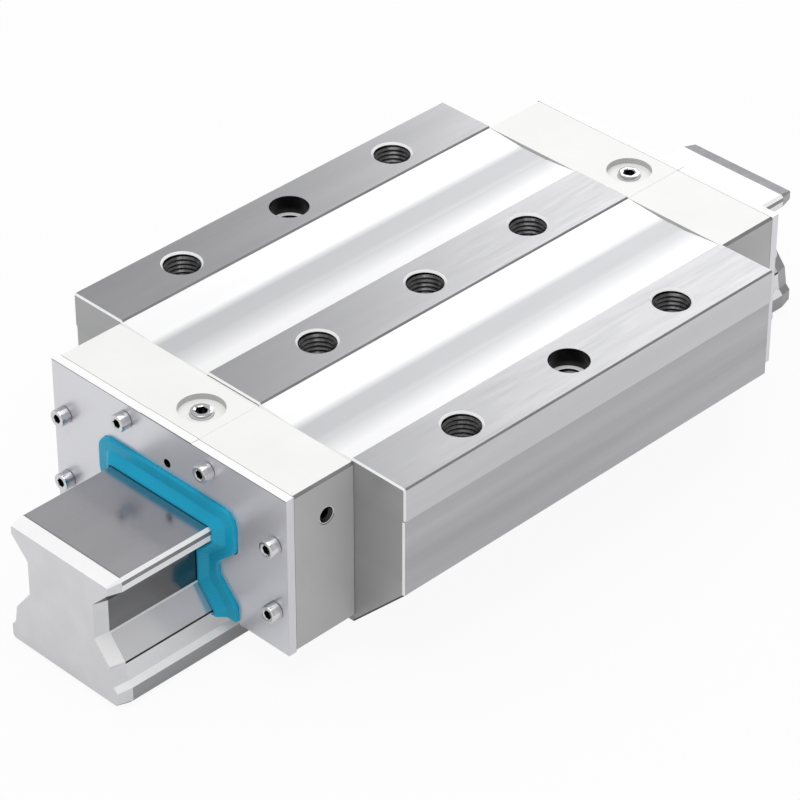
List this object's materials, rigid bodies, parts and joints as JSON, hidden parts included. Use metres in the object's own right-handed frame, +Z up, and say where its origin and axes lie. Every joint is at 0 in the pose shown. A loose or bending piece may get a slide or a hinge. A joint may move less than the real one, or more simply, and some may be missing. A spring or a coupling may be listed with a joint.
{
  "type": "roller runner block on a guide rail",
  "caption": "Flanged roller runner block that slides along a short profiled guide rail, with end caps, wiper seals, lubrication ports and tapped table face.",
  "frame": {"origin": "middle of the rail's bottom face", "axes": "+X across the rail, +Y along the rail in the direction of travel, +Z up from the rail's bottom face to the block's table face"},
  "size_m": [0.32, 0.672, 0.153],
  "materials": {
    "ground_steel": "ground",
    "rail_steel": "ground and polished",
    "bearing_steel": "polished",
    "screw_steel": "bright",
    "sheet_steel": "satin",
    "cap_plastic": "fine satin",
    "guide_plastic": "moulded",
    "seal_rubber": "glossy moulded"
  },
  "bodies": {
    "rail": {"guide_rail": "rail_steel"},
    "block": {"bearing_plate_left_lower": "bearing_steel", "bearing_plate_left_upper": "bearing_steel", "bearing_plate_right_lower": "bearing_steel", "bearing_plate_right_upper": "bearing_steel", "deflector_front_left": "guide_plastic", "deflector_front_right": "guide_plastic", "deflector_rear_left": "guide_plastic", "deflector_rear_right": "guide_plastic", "end_cap_front": "cap_plastic", "end_cap_rear": "cap_plastic", "end_seal_front": "seal_rubber", "end_seal_rear": "seal_rubber", "front_plate_front": "sheet_steel", "front_plate_rear": "sheet_steel", "leg_seal_left": "seal_rubber", "leg_seal_right": "seal_rubber", "lube_plug_front": "screw_steel", "lube_plug_rear": "screw_steel", "plate_screw_front_1": "screw_steel", "plate_screw_front_2": "screw_steel", "plate_screw_front_3": "screw_steel", "plate_screw_front_4": "screw_steel", "plate_screw_front_5": "screw_steel", "plate_screw_front_6": "screw_steel", "plate_screw_rear_1": "screw_steel", "plate_screw_rear_2": "screw_steel", "plate_screw_rear_3": "screw_steel", "plate_screw_rear_4": "screw_steel", "plate_screw_rear_5": "screw_steel", "plate_screw_rear_6": "screw_steel", "return_tube_left_lower": "guide_plastic", "return_tube_left_upper": "guide_plastic", "return_tube_right_lower": "guide_plastic", "return_tube_right_upper": "guide_plastic", "roller_retainer_left": "guide_plastic", "roller_retainer_right": "guide_plastic", "runner_block_body": "ground_steel"},
    "roller_left_lower_1": {"roller_left_lower_1": "bearing_steel"},
    "roller_left_lower_2": {"roller_left_lower_2": "bearing_steel"},
    "roller_left_lower_3": {"roller_left_lower_3": "bearing_steel"},
    "roller_left_lower_4": {"roller_left_lower_4": "bearing_steel"},
    "roller_left_upper_1": {"roller_left_upper_1": "bearing_steel"},
    "roller_left_upper_2": {"roller_left_upper_2": "bearing_steel"},
    "roller_left_upper_3": {"roller_left_upper_3": "bearing_steel"},
    "roller_left_upper_4": {"roller_left_upper_4": "bearing_steel"},
    "roller_right_lower_1": {"roller_right_lower_1": "bearing_steel"},
    "roller_right_lower_2": {"roller_right_lower_2": "bearing_steel"},
    "roller_right_lower_3": {"roller_right_lower_3": "bearing_steel"},
    "roller_right_lower_4": {"roller_right_lower_4": "bearing_steel"},
    "roller_right_upper_1": {"roller_right_upper_1": "bearing_steel"},
    "roller_right_upper_2": {"roller_right_upper_2": "bearing_steel"},
    "roller_right_upper_3": {"roller_right_upper_3": "bearing_steel"},
    "roller_right_upper_4": {"roller_right_upper_4": "bearing_steel"}
  },
  "joints": [
    {"name": "block_travel", "type": "slide", "parent": "rail", "child": "block", "axis": [0, 1, 0], "range_m": [-0.08, 0.08]},
    {"name": "roller_left_lower_1_spin", "type": "hinge", "parent": "block", "child": "roller_left_lower_1", "pos_m": [-0.04584, -0.15, 0.04397], "axis": [-0.6359, 0, -0.7718], "continuous": true},
    {"name": "roller_left_lower_2_spin", "type": "hinge", "parent": "block", "child": "roller_left_lower_2", "pos_m": [-0.04584, -0.05, 0.04397], "axis": [-0.6359, 0, -0.7718], "continuous": true},
    {"name": "roller_left_lower_3_spin", "type": "hinge", "parent": "block", "child": "roller_left_lower_3", "pos_m": [-0.04584, 0.05, 0.04397], "axis": [-0.6359, 0, -0.7718], "continuous": true},
    {"name": "roller_left_lower_4_spin", "type": "hinge", "parent": "block", "child": "roller_left_lower_4", "pos_m": [-0.04584, 0.15, 0.04397], "axis": [-0.6359, 0, -0.7718], "continuous": true},
    {"name": "roller_left_upper_1_spin", "type": "hinge", "parent": "block", "child": "roller_left_upper_1", "pos_m": [-0.04575, -0.15, 0.07875], "axis": [-0.7071, 0, 0.7071], "continuous": true},
    {"name": "roller_left_upper_2_spin", "type": "hinge", "parent": "block", "child": "roller_left_upper_2", "pos_m": [-0.04575, -0.05, 0.07875], "axis": [-0.7071, 0, 0.7071], "continuous": true},
    {"name": "roller_left_upper_3_spin", "type": "hinge", "parent": "block", "child": "roller_left_upper_3", "pos_m": [-0.04575, 0.05, 0.07875], "axis": [-0.7071, 0, 0.7071], "continuous": true},
    {"name": "roller_left_upper_4_spin", "type": "hinge", "parent": "block", "child": "roller_left_upper_4", "pos_m": [-0.04575, 0.15, 0.07875], "axis": [-0.7071, 0, 0.7071], "continuous": true},
    {"name": "roller_right_lower_1_spin", "type": "hinge", "parent": "block", "child": "roller_right_lower_1", "pos_m": [0.04584, -0.15, 0.04397], "axis": [0.6359, 0, -0.7718], "continuous": true},
    {"name": "roller_right_lower_2_spin", "type": "hinge", "parent": "block", "child": "roller_right_lower_2", "pos_m": [0.04584, -0.05, 0.04397], "axis": [0.6359, 0, -0.7718], "continuous": true},
    {"name": "roller_right_lower_3_spin", "type": "hinge", "parent": "block", "child": "roller_right_lower_3", "pos_m": [0.04584, 0.05, 0.04397], "axis": [0.6359, 0, -0.7718], "continuous": true},
    {"name": "roller_right_lower_4_spin", "type": "hinge", "parent": "block", "child": "roller_right_lower_4", "pos_m": [0.04584, 0.15, 0.04397], "axis": [0.6359, 0, -0.7718], "continuous": true},
    {"name": "roller_right_upper_1_spin", "type": "hinge", "parent": "block", "child": "roller_right_upper_1", "pos_m": [0.04575, -0.15, 0.07875], "axis": [0.7071, 0, 0.7071], "continuous": true},
    {"name": "roller_right_upper_2_spin", "type": "hinge", "parent": "block", "child": "roller_right_upper_2", "pos_m": [0.04575, -0.05, 0.07875], "axis": [0.7071, 0, 0.7071], "continuous": true},
    {"name": "roller_right_upper_3_spin", "type": "hinge", "parent": "block", "child": "roller_right_upper_3", "pos_m": [0.04575, 0.05, 0.07875], "axis": [0.7071, 0, 0.7071], "continuous": true},
    {"name": "roller_right_upper_4_spin", "type": "hinge", "parent": "block", "child": "roller_right_upper_4", "pos_m": [0.04575, 0.15, 0.07875], "axis": [0.7071, 0, 0.7071], "continuous": true}
  ],
  "couplings": [
    {"joint": "roller_left_lower_1_spin", "follows": "block_travel", "rad_per_m": 100},
    {"joint": "roller_left_lower_2_spin", "follows": "block_travel", "rad_per_m": 100},
    {"joint": "roller_left_lower_3_spin", "follows": "block_travel", "rad_per_m": 100},
    {"joint": "roller_left_lower_4_spin", "follows": "block_travel", "rad_per_m": 100},
    {"joint": "roller_left_upper_1_spin", "follows": "block_travel", "rad_per_m": -100},
    {"joint": "roller_left_upper_2_spin", "follows": "block_travel", "rad_per_m": -100},
    {"joint": "roller_left_upper_3_spin", "follows": "block_travel", "rad_per_m": -100},
    {"joint": "roller_left_upper_4_spin", "follows": "block_travel", "rad_per_m": -100},
    {"joint": "roller_right_lower_1_spin", "follows": "block_travel", "rad_per_m": -100},
    {"joint": "roller_right_lower_2_spin", "follows": "block_travel", "rad_per_m": -100},
    {"joint": "roller_right_lower_3_spin", "follows": "block_travel", "rad_per_m": -100},
    {"joint": "roller_right_lower_4_spin", "follows": "block_travel", "rad_per_m": -100},
    {"joint": "roller_right_upper_1_spin", "follows": "block_travel", "rad_per_m": 100},
    {"joint": "roller_right_upper_2_spin", "follows": "block_travel", "rad_per_m": 100},
    {"joint": "roller_right_upper_3_spin", "follows": "block_travel", "rad_per_m": 100},
    {"joint": "roller_right_upper_4_spin", "follows": "block_travel", "rad_per_m": 100}
  ]
}
